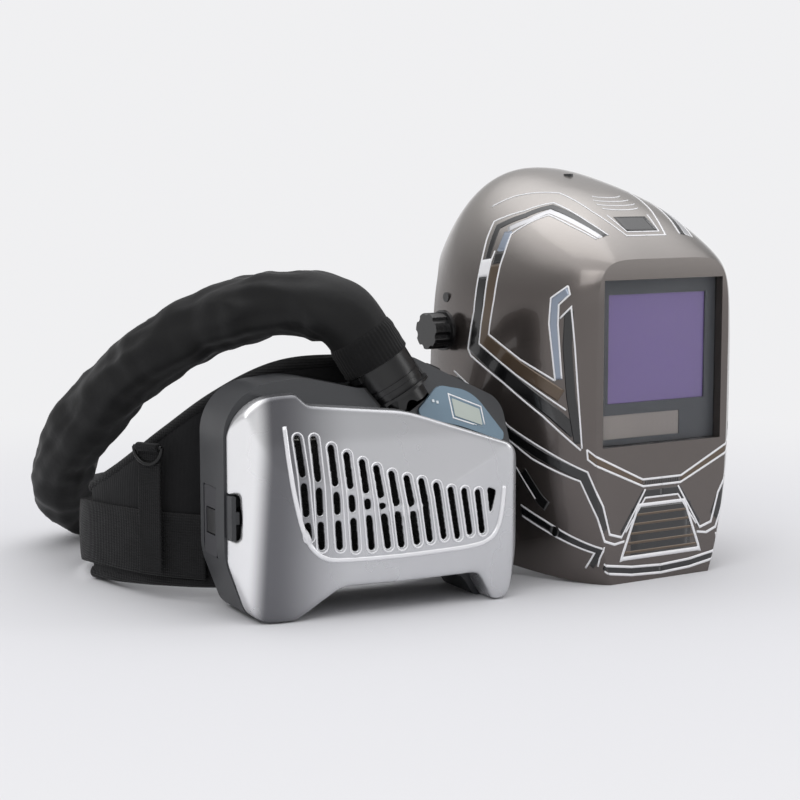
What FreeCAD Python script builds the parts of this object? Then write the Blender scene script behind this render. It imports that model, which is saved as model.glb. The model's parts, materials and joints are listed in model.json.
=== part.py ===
"""Powered air respirator: belt-worn blower, padded belt, air hose and welding helmet.

Millimetres, +Z up.  The blower's front looks along -Y, the helmet stands to its right (+X).
Everything is built about the blower's own point (mid width, front plane, floor) and moved
by ORIGIN at export, so that the frame's origin is the bottom centre of the whole object.
"""
import os
from math import atan2, cos, degrees, pi, radians, sin, sqrt, tan

import FreeCAD, Part

V = FreeCAD.Vector
X_AXIS, Y_AXIS, Z_AXIS = V(1, 0, 0), V(0, 1, 0), V(0, 0, 1)

# ---------------------------------------------------------------- driving dimensions
ORIGIN = V(107.2, 158.4, 0)            # bottom centre of the object, seen from the blower's point
WALL = 2.5                         # moulded casing walls
GAP = 0.3                          # between parts that move past each other
COVER_BACK_Y = 25.7                # filter cover: back edge
CASE_FRONT_Y, CASE_BACK_Y = 26.0, 75.0
FAN_X, FAN_Z = 58.0, 86.0          # fan axis
FAN_R, SCROLL_R = 38.0, 46.0
NECK_BASE = V(33, 46, 158)         # air outlet, leaning left and back
NECK_DIR = V(-0.49, 0.18, 0.853)
NECK_R, COLLAR_R, HOSE_R = 21.5, 25.0, 24.0
COLLAR_START, COLLAR_LEN, CUFF_LEN = 6.0, 21.0, 22.0
CUP_R = 27.6                       # recess in the casing round the outlet
BATTERY_Z = 44.0                   # floor of the battery bay
PAD_T = 11.0                       # belt pad thickness
WEB_T = 3.0                        # webbing thickness
RIBBON_SPANS = 26                  # straight spans along each belt band
HELMET_AT = V(254.5, 14, 0)         # helmet's own point in the blower's frame
HELMET_YAW = 7.0
SHELL_T = 3.0
PIVOT_Y, PIVOT_Z = 135.0, 196.0    # helmet tilt axis, in the helmet's frame
PIVOT_KNOB_X = 118.8               # where the pivot knobs' inner faces run
HEAD_Y, HEAD_Z = 160.0, 185.0      # middle of the head, in the helmet's frame
INLET_AT = V(0, 262, 120)          # air inlet, in the helmet's frame
INLET_DIR = V(0, 0.8, -0.6)
INLET_R, INLET_LEN = 17.0, 22.0

nodes = {}


# ---------------------------------------------------------------- helpers
def box(x0, y0, z0, x1, y1, z1):
    return Part.makeBox(x1 - x0, y1 - y0, z1 - z0, V(x0, y0, z0))


def cylinder(base, axis, radius, start, end):
    unit = V(axis).normalize()
    return Part.makeCylinder(radius, end - start, base + unit * start, unit)


def ring(base, axis, outer, inner, start, end):
    return cylinder(base, axis, outer, start, end).cut(cylinder(base, axis, inner, start - 1, end + 1))


def join(shapes):
    whole = shapes[0]
    for shape in shapes[1:]:
        whole = whole.fuse(shape)
    return whole.removeSplitter()


def rounded_wire(corners):
    """Closed wire through corners (point, radius), each corner turned into an arc."""
    spans = []
    count = len(corners)
    for i, (point, radius) in enumerate(corners):
        before = (corners[i - 1][0] - point).normalize()
        after = (corners[(i + 1) % count][0] - point).normalize()
        half = before.getAngle(after) / 2
        reach = radius / tan(half)
        middle = (before + after).normalize() * (radius / sin(half) - radius)
        spans.append((point + before * reach, point + middle, point + after * reach))
    edges = []
    for i, (start, middle, end) in enumerate(spans):
        edges.append(Part.Arc(start, middle, end).toShape())
        following = spans[(i + 1) % count][0]
        if end.distanceToPoint(following) > 1e-6:
            edges.append(Part.LineSegment(end, following).toShape())
    return Part.Wire(edges)


def prism(corners, place, direction):
    """Solid swept from a rounded outline; place() turns each flat corner into a point."""
    wire = rounded_wire([(place(a, b), radius) for a, b, radius in corners])
    return Part.Face(wire).extrude(direction)


def front_prism(corners, y0, y1):
    return prism(corners, lambda a, b: V(a, y0, b), V(0, y1 - y0, 0))


def obround(x_top, z_top, x_bottom, z_bottom, width):
    """Corners of a slot outline from its top end to its bottom end."""
    top, bottom = V(x_top, 0, z_top), V(x_bottom, 0, z_bottom)
    along = (top - bottom).normalize()
    side = V(along.z, 0, -along.x) * (width / 2)
    points = (top - side, top + side, bottom + side, bottom - side)
    end_radius = min(width, (top - bottom).Length) * 0.49
    return [(p.x, p.z, end_radius) for p in points]


def smooth_edge(points):
    curve = Part.BSplineCurve()
    curve.interpolate(points)
    return curve.toShape()


def tapered(corners_front, y_front, corners_back, y_back):
    """Solid between two outlines of the same corner count in two front planes."""
    wires = []
    for corners, y in ((corners_front, y_front), (corners_back, y_back)):
        wires.append(rounded_wire([(V(a, y, b), radius) for a, b, radius in corners]))
    return Part.makeLoft(wires, True, True)


def inward(corners, inset):
    """Outline moved inwards by inset, for outlines that turn clockwise seen from the front."""
    moved = []
    count = len(corners)
    for i, (a, b, radius) in enumerate(corners):
        here = V(a, 0, b)
        come = (here - V(corners[i - 1][0], 0, corners[i - 1][1])).normalize()
        nxt = corners[(i + 1) % count]
        go = (V(nxt[0], 0, nxt[1]) - here).normalize()
        left_turn = come.z * go.x - come.x * go.z > 0
        n_come, n_go = V(come.z, 0, -come.x), V(go.z, 0, -go.x)
        shift = (n_come + n_go) * (inset / (1 + n_come.dot(n_go)))
        new_radius = radius - inset if left_turn else radius + inset
        moved.append((a + shift.x, b + shift.z, max(new_radius, 0.6)))
    return moved


# ---------------------------------------------------------------- blower outlines (x, z, radius)
FEET = [(121, 45, 60), (109, 0, 12), (91, 0, 4), (79, 17.5, 9), (-29, 17.5, 30), (-60, 0, 12), (-97, 0, 16)]
COVER_FEET = [(121, 45, 60), (109, 0.4, 12), (95, 0.4, 4), (82, 23, 9), (-32, 23, 30), (-68, 0.4, 12),
              (-97, 0.4, 16)]
COVER_OUTLINE = [(-113, 45, 50), (-113, 163, 36), (-62, 165.5, 2), (-53, 157, 2), (25, 149, 100),
                 (121, 117, 20)] + COVER_FEET
CASE_OUTLINE = [(-114, 45, 50), (-114, 168, 38), (-50, 175, 80), (4, 163, 24), (47, 186, 12),
                (122, 149, 18)] + FEET
CASE_OUTLINE[6] = (122, 45, 60)
PLAN_OUTLINE = [(-113, 60, 1), (-113, 8, 30), (-80, 2, 40), (20, -4, 300), (121, 4, 16), (121, 60, 1)]
SIDE_OUTLINE = [(3, -1, 1), (-4, 20, 40), (-4, 75, 150), (5, 130, 120), (15, 172, 1), (60, 172, 1),
                (60, -1, 1)]
EDGE_SLOPE = 40 / 174.0            # fall of the cover's top edge, left to right

# slots: top x, top z, bottom x, bottom z, and the heights of the bars that cross them
SLOTS = [(-65, 136, -58, 60, (104, 75)), (-52, 135, -48, 52, (100, 75)), (-39, 128, -34, 51, (96, 75)),
         (-27, 122, -22, 49, (93, 76)),
         (-15, 116, -9, 49, (89, 77)), (-4, 111, 4, 49, (85, 77)), (8, 106, 15, 49, (78,)),
         (20, 102, 28, 50, (77,)), (32, 99, 39, 51, ()), (44, 95, 51, 52, ()), (56, 91, 63, 51, ()),
         (68, 89, 74, 53, ()), (80, 87, 85, 53, ())]
LAST_SLOT = [(89, 88, 1.2), (97, 85, 1.2), (92, 65, 0.8)]
SLIT_W, RIM_W, BAR_W = 4.4, 9.2, 4.5


def front_y(z):
    """Depth of the cover's front face at height z, near the middle of its width."""
    lean = max(z - 70, 0) / 95.0
    return -3.4 + 14 * lean ** 1.7


def slit(x0, z0, x1, z1, width):
    y = front_y((z0 + z1) / 2)
    return front_prism(obround(x0, z0, x1, z1, width), y - 20, y + 14)


def slot_rim(x0, z0, x1, z1):
    """Shallow bevelled pocket round one slot, following the lean of the front face."""
    y = front_y((z0 + z1) / 2)
    cutter = tapered(obround(x0, z0, x1, z1, RIM_W + 2.5), y - 3.0, obround(x0, z0, x1, z1, SLIT_W + 1),
                     y + 2.0)
    lean = degrees(atan2(front_y(z0) - front_y(z1), z0 - z1))
    cutter.rotate(V(0, y, (z0 + z1) / 2), X_AXIS, -lean)
    return cutter


def make_filter_cover():
    outer = front_prism(COVER_OUTLINE, -12, COVER_BACK_Y)
    outer = outer.common(prism(PLAN_OUTLINE, lambda a, b: V(a, b, -5), V(0, 0, 190)))
    outer = outer.common(prism(SIDE_OUTLINE, lambda a, b: V(-130, a, b), V(260, 0, 0)))
    inner = front_prism(inward(COVER_OUTLINE, WALL), -12, COVER_BACK_Y + 5)
    inner_plan = [(a * 0.978, b + WALL, r) for a, b, r in PLAN_OUTLINE]
    inner = inner.common(prism(inner_plan, lambda a, b: V(a, b, -5), V(0, 0, 190)))
    inner_side = [(a + WALL, b, r) for a, b, r in SIDE_OUTLINE]
    inner = inner.common(prism(inner_side, lambda a, b: V(-130, a, b), V(260, 0, 0)))
    cover = outer.cut(inner)
    cutters = []
    for x_top, z_top, x_bottom, z_bottom, bars in SLOTS:
        cutters.append(slot_rim(x_top, z_top, x_bottom, z_bottom))
        run = (x_bottom - x_top) / (z_bottom - z_top)
        levels = [z_top]
        for bar in bars:
            levels += [bar + BAR_W / 2, bar - BAR_W / 2]
        levels.append(z_bottom)
        for upper, lower in zip(levels[::2], levels[1::2]):
            x_upper, x_lower = x_top + (upper - z_top) * run, x_top + (lower - z_top) * run
            cutters.append(slit(x_upper, upper, x_lower, lower, SLIT_W))
    cutters.append(front_prism(LAST_SLOT, -20, 18))
    cutters.append(box(-120, 14, 61, -105.2, 40, 94))          # notch for the latch
    cutters.append(box(-120, 14, 72, -103.4, 40, 83))
    for cutter in cutters:
        cover = cover.cut(cutter)
    return cover


def make_blower():
    """Casing, back plate and everything fixed inside."""
    case = front_prism(CASE_OUTLINE, CASE_FRONT_Y, CASE_BACK_Y)
    bevel = prism([(-30, -1, 1), (26.2, -1, 1), (26.2, 0, 1), (64, 76, 1), (-30, 76, 1)],
                  lambda a, b: V(-160, a, b), V(330, 0, 0))
    bevel.rotate(V(-160, 26, 0), Y_AXIS, degrees(atan2(EDGE_SLOPE, 1)))
    bevel.translate(V(0, 0, 157 + EDGE_SLOPE * 107))
    case = case.cut(bevel)
    hollow = front_prism(inward(CASE_OUTLINE, WALL), CASE_FRONT_Y + WALL, CASE_BACK_Y + 1)
    thick_bevel = bevel.copy()
    thick_bevel.translate(V(0, WALL, -WALL * 0.5))
    case = case.cut(hollow.cut(thick_bevel))
    case = case.cut(cylinder(V(FAN_X, 20, FAN_Z), Y_AXIS, 27, 0, 12))
    cup = ring(NECK_BASE, NECK_DIR, CUP_R, CUP_R - 1.8, 0.5, 34).common(case)
    case = case.cut(cylinder(NECK_BASE, NECK_DIR, CUP_R, -2, 34))
    case = case.cut(cylinder(NECK_BASE, NECK_DIR, NECK_R, -16, 30))
    case = case.cut(box(-120, 42, BATTERY_Z, -108, 68.4, BATTERY_Z + 52.4))
    case = case.cut(box(-110.2, 20, 71, -101, 30, 84))          # latch arm slot
    for button_x in BUTTON_X:
        base, axis = button_place(button_x)
        case = case.cut(cylinder(base, axis, 6.4, -12, 6))
    back = front_prism(inward(CASE_OUTLINE, WALL + 0.05), CASE_BACK_Y - WALL, CASE_BACK_Y)
    for x, z in SCREW_AT:
        back = back.cut(cylinder(V(x, 60, z), Y_AXIS, 1.6, 0, 20))
    back = back.cut(cylinder(NECK_BASE, NECK_DIR, CUP_R + 0.1, -20, 34))
    nodes["blower_housing"] = case
    nodes["rear_cover"] = back
    screws = [join([cylinder(V(x, CASE_BACK_Y, z), Y_AXIS, 3.0, 0, 1.6),
                    cylinder(V(x, CASE_BACK_Y, z), Y_AXIS, 1.6, -9, 0)]) for x, z in SCREW_AT]
    nodes["case_screws"] = Part.makeCompound(screws)
    return cup


SCREW_AT = [(-96, 22), (-96, 146), (103, 30), (103, 130)]
BUTTON_X = (72.0, 92.0)


def button_place(x):
    """Point on the sloped top of the casing and its outward direction."""
    return V(x, 61, 186 - (x - 47) * 37 / 75.0), V(37, 0, 75).normalize()


def make_fan():
    centre = V(FAN_X, 0, FAN_Z)
    scroll = ring(centre, Y_AXIS, SCROLL_R, SCROLL_R - 2, 34, 64)
    scroll = join([scroll, ring(centre, Y_AXIS, SCROLL_R, 27, 32, 34), ring(centre, Y_AXIS, SCROLL_R,
                                                                            17, 64, 66)])
    duct_dir = NECK_BASE - V(FAN_X - 18, 49, FAN_Z + 20)
    duct_at = V(FAN_X - 18, 49, FAN_Z + 20)
    reach = duct_dir.Length - 22
    duct = cylinder(duct_at, duct_dir, 14, 0, reach).cut(cylinder(duct_at, duct_dir, 12, -1, reach + 1))
    hollow = cylinder(centre, Y_AXIS, SCROLL_R - 2, 34, 64)
    scroll = scroll.cut(cylinder(duct_at, duct_dir, 12, 0, reach))
    nodes["fan_scroll"] = join([scroll, duct.cut(hollow)])
    motor = join([cylinder(centre, Y_AXIS, 16.9, 57, 72.4), ring(centre, Y_AXIS, 5, 2.55, 55, 57)])
    nodes["fan_motor"] = motor.cut(cylinder(centre, Y_AXIS, 2.55, 50, 70))
    shaft = cylinder(centre, Y_AXIS, 2.5, 38, 69)
    nodes["motor_shaft"] = shaft
    plate = ring(centre, Y_AXIS, FAN_R, 2.5, 52, 54)
    hub = ring(centre, Y_AXIS, 8, 2.5, 40, 52)
    parts = [plate, hub, ring(centre, Y_AXIS, FAN_R, FAN_R - 9, 37, 38.5)]
    blades = 24
    for i in range(blades):
        blade = box(FAN_R - 9, 37.5, -0.6, FAN_R - 0.5, 53, 0.6)
        blade.rotate(V(FAN_R - 5, 0, 0), Y_AXIS, 25)
        blade.rotate(V(0, 0, 0), Y_AXIS, i * 360.0 / blades)
        blade.translate(centre)
        parts.append(blade)
    nodes["impeller"] = join(parts)


FILTER_OUTLINE = [(-84, 36, 6), (-84, 134, 6), (10, 130, 40), (102, 106, 6), (102, 36, 6)]


def make_filter():
    """Particle filter between its gasket on the casing and the coarse mesh at its front."""
    nodes["prefilter_mesh"] = front_prism(inward(FILTER_OUTLINE, 1), 9.2, 10.6)
    nodes["particle_filter"] = front_prism(FILTER_OUTLINE, 10.6, 24)
    seal = front_prism(FILTER_OUTLINE, 24, CASE_FRONT_Y)
    nodes["filter_seal"] = seal.cut(front_prism(inward(FILTER_OUTLINE, 5), 23, 27))


def make_battery():
    z = BATTERY_Z
    pack = box(-113.5, 42.4, z + 0.4, -4, 68, z + 52)
    pack = pack.makeFillet(2.5, [e for e in pack.Edges if e.BoundBox.XLength > 50])
    pack = pack.cut(box(-114, 46, z + 16, -108.2, 64, z + 36))
    nodes["battery_pack"] = pack.cut(box(-109, 49.6, z + 19.6, -103, 60.4, z + 32.4))
    latch = box(-113.2, 47, z + 17, -110.7, 63, z + 35).fuse(box(-110.7, 50, z + 20, -106.6, 60, z + 32))
    nodes["battery_latch"] = latch.removeSplitter()
    nodes["battery_guides"] = Part.makeCompound([box(-100, 40, z - 1.8, -2, 70, z + 0.1),
                                                 box(-100, 40, z + 52.4, -2, 70, z + 54.2)])


def slanted_plate(corners, lift, thickness):
    """Plate on the sloped face of the casing: outline in front view, lift above that face."""
    outline = front_prism(corners, 0, 80)
    slab = prism([(26.2, 0, 0.2), (64, 76, 0.2), (64 - thickness, 76 + thickness * 0.5, 0.2),
                  (26.2 - thickness, thickness * 0.5, 0.2)],
                 lambda a, b: V(-160, a, b), V(330, 0, 0))
    slab.rotate(V(-160, 26, 0), Y_AXIS, degrees(atan2(EDGE_SLOPE, 1)))
    slab.translate(V(0, -lift, 157 + EDGE_SLOPE * 107 + lift * 0.5))
    return outline.common(slab)


def make_display():
    panel = [(40, 143, 4), (67, 163, 12), (96, 157, 30), (117, 125, 3), (115, 119, 3), (80, 132, 60)]
    screen = [(76, 153, 0.8), (99, 143.5, 0.8), (99, 131.5, 0.8), (76, 140, 0.8)]
    leds = [(59, 152), (62.5, 150.8)]
    facia = slanted_plate(panel, 0, 1.8)
    glass = slanted_plate(screen, 0, 2.2)
    lamps = [slanted_plate([(x - 1, z - 1, 0.3), (x - 1, z + 1, 0.3), (x + 1, z + 1, 0.3),
                            (x + 1, z - 1, 0.3)],
                           0, 2.4) for x, z in leds]
    facia = facia.cut(glass)
    for lamp in lamps:
        facia = facia.cut(lamp)
    nodes["display_panel"] = facia
    nodes["display_screen"] = glass
    nodes["status_lamps"] = Part.makeCompound(lamps)
    nodes["control_board"] = box(62, 52, 133.5, 112, 70, 135.5)
    for name, x in zip(("power_button", "airflow_button"), BUTTON_X):
        base, axis = button_place(x)
        nodes[name] = cylinder(base, axis, 6.1, -6, 1.8)


def make_outlet(cup):
    nodes["outlet_neck"] = join([
        ring(NECK_BASE, NECK_DIR, NECK_R, NECK_R - 2.5, -12, COLLAR_START + COLLAR_LEN + 2),
        ring(NECK_BASE, NECK_DIR, CUP_R, NECK_R - 1, -2, 0.5),
        ring(NECK_BASE, NECK_DIR, COLLAR_R - 1, NECK_R - 1, 0, COLLAR_START - 0.3)])
    nodes["outlet_neck"] = nodes["outlet_neck"].cut(box(-20, 0, 130, 60, COVER_BACK_Y + 0.2, 155))
    nodes["outlet_rim"] = cup
    collar = ring(NECK_BASE, NECK_DIR, COLLAR_R, NECK_R + 0.08, COLLAR_START, COLLAR_START + COLLAR_LEN)
    unit = V(NECK_DIR).normalize()
    lugs = []
    for turn in (20, 200):
        lug = Part.makeBox(4, 9, 4.6, V(COLLAR_R - 1, -4.5, 0))
        lug.rotate(V(0, 0, 0), Z_AXIS, turn)
        frame = FreeCAD.Placement(NECK_BASE + unit * (COLLAR_START + COLLAR_LEN - 4.6),
                                  FreeCAD.Rotation(Z_AXIS, unit))
        lug.Placement = frame.multiply(lug.Placement)
        lugs.append(lug.cut(cylinder(NECK_BASE, NECK_DIR, NECK_R + 1, 0, 80)))
    groove = ring(NECK_BASE, NECK_DIR, COLLAR_R + 2, COLLAR_R - 1, COLLAR_START + 4, COLLAR_START + 5.6)
    nodes["hose_collar"] = join([collar.cut(groove)] + lugs)
    start = COLLAR_START + COLLAR_LEN + GAP
    cuff = ring(NECK_BASE, NECK_DIR, HOSE_R + 2.2, NECK_R, start, start + CUFF_LEN)
    nodes["hose_cuff_blower"] = join([cuff.cut(ring(NECK_BASE, NECK_DIR, NECK_R + 1, 1, start + 4,
                                                    start + CUFF_LEN)),
                                      cylinder(NECK_BASE, NECK_DIR, HOSE_R + 0.5, start + 4,
                                               start + CUFF_LEN)])
    return NECK_BASE + unit * (start + CUFF_LEN)


# ---------------------------------------------------------------- filter cover latch
def make_cover_latch():
    tab = box(-112.6, 14.4, 61.6, -109.2, 25.4, 93.4)
    arm = box(-109.2, 16, 73, -106, 34, 82)
    nodes["cover_latch"] = tab.fuse(arm).removeSplitter()


# ---------------------------------------------------------------- belt
# plan stations of the pad's middle line: x, y, top z, bottom z
PAD_STATIONS = [(-152, 214, 80, 0.2), (-143, 172, 100, 4), (-124, 128, 130, 8), (-92, 95, 162, 10),
                (-45, 86.5, 182, 11), (10, 86.5, 184, 11), (62, 87.5, 178, 11), (94, 102, 152, 10),
                (106, 134, 122, 8), (110, 168, 96, 4), (109, 200, 80, 0.2)]
# plan stations of the webbing's middle line: x, y, bottom z, height
WEB_LEFT = [(-104, 92.5, 17, 50), (-131.5, 124.5, 17, 50), (-150.5, 170, 16, 50), (-159.6, 215, 14, 50),
            (-152, 256, 8, 50), (-130, 289, 3, 50), (-104, 307, 0.5, 50), (-76, 313.6, 0.2, 50),
            (-50, 314, 0.2, 50), (-24, 314, 0.2, 50)]
WEB_RIGHT = [(34, 314, 0.2, 50), (62, 313.4, 0.2, 50), (88, 298, 1, 50), (108, 266, 4, 50),
             (117.4, 232, 10, 50),
             (118.4, 168, 16, 50), (114.2, 132, 17, 50), (100.5, 98, 17, 50)]


def ribbon(stations, thickness):
    """Upright band along plan stations (x, y, bottom, top), through smooth curves."""
    lower, upper = Part.BSplineCurve(), Part.BSplineCurve()
    lower.interpolate([V(x, y, low) for x, y, low, _ in stations])
    upper.interpolate([V(x, y, high) for x, y, _, high in stations])
    wires = []
    for i in range(RIBBON_SPANS + 1):
        share = i / RIBBON_SPANS
        here = lower.value(lower.FirstParameter + share * (lower.LastParameter - lower.FirstParameter))
        along = lower.tangent(lower.FirstParameter + share * (lower.LastParameter - lower.FirstParameter))[0]
        crest = upper.value(upper.FirstParameter + share * (upper.LastParameter - upper.FirstParameter)).z
        side = V(-along.y, along.x, 0).normalize() * (thickness / 2)
        foot, head = V(here.x, here.y, max(here.z, 0.0)), V(here.x, here.y, crest)
        wires.append(Part.makePolygon([foot - side, foot + side, head + side, head - side, foot - side]))
    return Part.makeLoft(wires, True, True)


def make_belt():
    nodes["belt_pad"] = ribbon([(x, y, low, high) for x, y, high, low in PAD_STATIONS], PAD_T)
    nodes["belt_webbing_left"] = ribbon([(x, y, low, low + tall) for x, y, low, tall in WEB_LEFT], WEB_T)
    nodes["belt_webbing_right"] = ribbon([(x, y, low, low + tall) for x, y, low, tall in WEB_RIGHT], WEB_T)
    plate = front_prism([(-80, 40, 8), (-80, 140, 8), (80, 140, 8), (80, 40, 8)], CASE_BACK_Y + 1.7, 79.6)
    nodes["belt_plate"] = join([plate, box(-40, CASE_BACK_Y, 60, 40, CASE_BACK_Y + 1.7, 120)])
    make_buckle()
    make_ring()


def make_buckle():
    """Side release buckle on the straight back run of the belt, and its slide adjuster."""
    y, low, high = 314.0, 0.2, 54.0
    socket = box(-24, y - 6, low, 10, y + 6, high).cut(box(-6, y - 4, low + 4, 11, y + 4, high - 4))
    tongue = join([box(-4, y - 3.6, 6, 14, y + 3.6, 14), box(-4, y - 3.6, 40, 14, y + 3.6, 48),
                   box(10.4, y - 6, low, 44, y + 6, high)])
    nodes["buckle_socket"] = socket
    nodes["buckle_tongue"] = tongue.cut(box(15, y - 4, -1, 45, y + 4, 52.2))
    glide = box(-66, y - 4.5, 0.2, -46, y + 4.5, 54)
    nodes["belt_adjuster"] = glide.cut(box(-67, y - 2.2, -1, -45, y + 2.2, 52))


def make_ring():
    """Wire ring hanging on a webbing loop at the left of the blower."""
    at = V(-132, 124, 118)
    along = V(-32, 46, 0).normalize()
    out = V(-along.y, along.x, 0)
    centre = at + out * (PAD_T / 2 + 4.2)
    half = 13.0
    loop = Part.makeTorus(half, 1.5, V(0, 0, 0), Z_AXIS, 0, 360, 180)
    bar = cylinder(V(0, 0, 0), X_AXIS, 1.5, -half, half)
    d_ring = join([loop, bar])
    frame = FreeCAD.Placement(centre, FreeCAD.Rotation(along, V(0, 0, -1), out, "XYZ"))
    d_ring.Placement = frame
    nodes["d_ring"] = d_ring
    keeper = ring(V(0, 0, 0), X_AXIS, 3.1, 1.58, -8.5, 8.5)
    tail = box(-8.5, -42, -3.1, 8.5, 0, -1.7)
    body = join([keeper, tail.cut(cylinder(V(0, 0, 0), X_AXIS, 1.58, -9, 9))])
    body.Placement = FreeCAD.Placement(centre, FreeCAD.Rotation(along, V(0, 0, 1), out * -1, "XYZ"))
    nodes["ring_keeper"] = body
    return centre, along


# ---------------------------------------------------------------- air hose
HOSE_ROUTE = [V(-9, 66, 222), V(-25, 84, 226.5), V(-46, 113, 223.5), V(-73, 150, 210.5), V(-101, 192, 187),
              V(-127, 240, 151), V(-142, 278, 115), V(-149, 316, 80), V(-142, 352, 50), V(-118, 380, 31),
              V(-78, 394, 26.5), V(-30, 393, 26.5), V(20, 387, 26.5), V(70, 384, 26.5), V(120, 388, 27),
              V(166, 388, 34), V(204, 374, 50)]


def on_helmet(point):
    turned = FreeCAD.Rotation(Z_AXIS, HELMET_YAW).multVec(point)
    return HELMET_AT + turned


def arc_path(points, share):
    """Straight runs joined by tangent arcs; each arc takes the given share of its shorter run."""
    edges, radii = [], []
    here = points[0]
    for before, corner, after in zip(points, points[1:], points[2:]):
        run = min((corner - before).Length, (after - corner).Length)
        u_in = (corner - before).normalize()
        u_out = (after - corner).normalize()
        turn = u_in.getAngle(u_out)
        radius = share * run / tan(turn / 2)
        start, end = corner - u_in * (share * run), corner + u_out * (share * run)
        lift = (u_out - u_in).normalize() * (radius / cos(turn / 2) - radius)
        edges.append(Part.LineSegment(here, start).toShape())
        edges.append(Part.Arc(start, corner + lift, end).toShape())
        here = end
        radii.append(radius)
    edges.append(Part.LineSegment(here, points[-1]).toShape())
    return Part.Wire(edges), radii


def make_hose(start):
    inlet = on_helmet(INLET_AT)
    inlet_dir = FreeCAD.Rotation(Z_AXIS, HELMET_YAW).multVec(V(INLET_DIR).normalize())
    end = inlet + inlet_dir * (INLET_LEN + GAP + CUFF_LEN)
    neck = V(NECK_DIR).normalize()
    points = [start, start + neck * 14] + HOSE_ROUTE + [end + inlet_dir * 28, end]
    path, radii = arc_path(points, 0.45)
    disc = Part.Wire(Part.Circle(start, points[1] - start, HOSE_R).toShape())
    hose = path.makePipeShell([disc], True, False)
    nodes["air_hose"] = hose
    print("hose: path %.0f mm, volume / (section x length) %.4f" %
          (path.Length, hose.Volume / (pi * HOSE_R ** 2 * path.Length)))
    print("hose runs:", [round((b - a).Length) for a, b in zip(points, points[1:])])
    print("hose radii:", [round(r) for r in radii])
    print("hose points:", [tuple(round(c, 1) for c in p - ORIGIN) for p in points])
    at = INLET_LEN + GAP
    cuff = ring(INLET_AT, INLET_DIR, HOSE_R + 2.2, INLET_R + 1, at, at + 5)
    nodes["hose_cuff_helmet"] = helmet_placed(join([cuff, cylinder(INLET_AT, INLET_DIR, HOSE_R + 2.2, at + 5,
                                                                  at + CUFF_LEN)]))


def helmet_placed(shape):
    """Shape from the helmet's own frame into the blower's frame."""
    placed = shape.copy()
    move = FreeCAD.Placement(HELMET_AT, FreeCAD.Rotation(Z_AXIS, HELMET_YAW))
    placed.Placement = move.multiply(placed.Placement)
    return placed


# ---------------------------------------------------------------- helmet shell
SPRING_Z = 150.0                   # height where the arch starts to close
# front-to-back stations: y, half width, top z, squareness, half width at bottom, bottom z, taper
SHELL_STATIONS = [(0, 68, 257, 7.0, 51, 0, 3.0), (12, 80.5, 266, 5.0, 61, 0, 2.8), (38, 97, 284, 3.4, 77, 3, 2.4),
                  (75, 110, 305, 2.7, 94, 9, 2.0), (112, 115.5, 318, 2.4, 104, 15, 2.0),
                  (150, 114.5, 327, 2.25, 106, 20, 2.0), (190, 103, 323, 2.15, 97, 24, 2.0),
                  (232, 85, 301, 2.1, 80, 27, 2.0)]


def station_at(y):
    """Shell section values at depth y, between the stations (or carried on past the last)."""
    for low, high in zip(SHELL_STATIONS, SHELL_STATIONS[1:]):
        if y <= high[0] or high is SHELL_STATIONS[-1]:
            share = (y - low[0]) / (high[0] - low[0])
            return [a + (b - a) * share for a, b in zip(low, high)]


def arch(y, inset=0.0, drop=0.0):
    """Closed section of the shell: a smooth arch and a straight bottom line."""
    _, half, top, square, half_low, low, taper = station_at(y)
    reach = SPRING_Z - low
    lower, upper = [], []
    steps = 6
    for i in range(steps):
        share = (1 + drop / reach) * (steps - i) / steps
        x = half - (half - half_low) * share ** taper - inset
        lower.append((x, SPRING_Z - reach * share))
    turns = 12
    for i in range(turns + 1):
        angle = pi / 2 * i / turns
        x = (half - inset) * max(cos(angle), 0) ** (2 / square)
        upper.append((x, SPRING_Z + (top - SPRING_Z - inset) * sin(angle) ** (2 / square)))
    upper[-1] = (0.0, upper[-1][1])
    right = lower + upper
    points = [V(x, y, z) for x, z in right] + [V(-x, y, z) for x, z in right[-2::-1]]
    return Part.Wire([smooth_edge(points), Part.LineSegment(points[-1], points[0]).toShape()])


def shell_half_width(y, z):
    _, half, top, square, half_low, low, taper = station_at(y)
    if z < SPRING_Z:
        return half - (half - half_low) * ((SPRING_Z - z) / (SPRING_Z - low)) ** taper
    return half * (1 - ((z - SPRING_Z) / (top - SPRING_Z)) ** square) ** (1 / square)


WINDOW = (-61, 110, 61, 241)       # x, z of the window opening
REAR_EDGE = [(108, -20, 1), (116, 18, 12), (152, 78, 30), (166, 130, 60), (168, 205, 60), (178, 240, 30),
             (205, 266, 20), (260, 284, 1), (260, -20, 1)]


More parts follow.
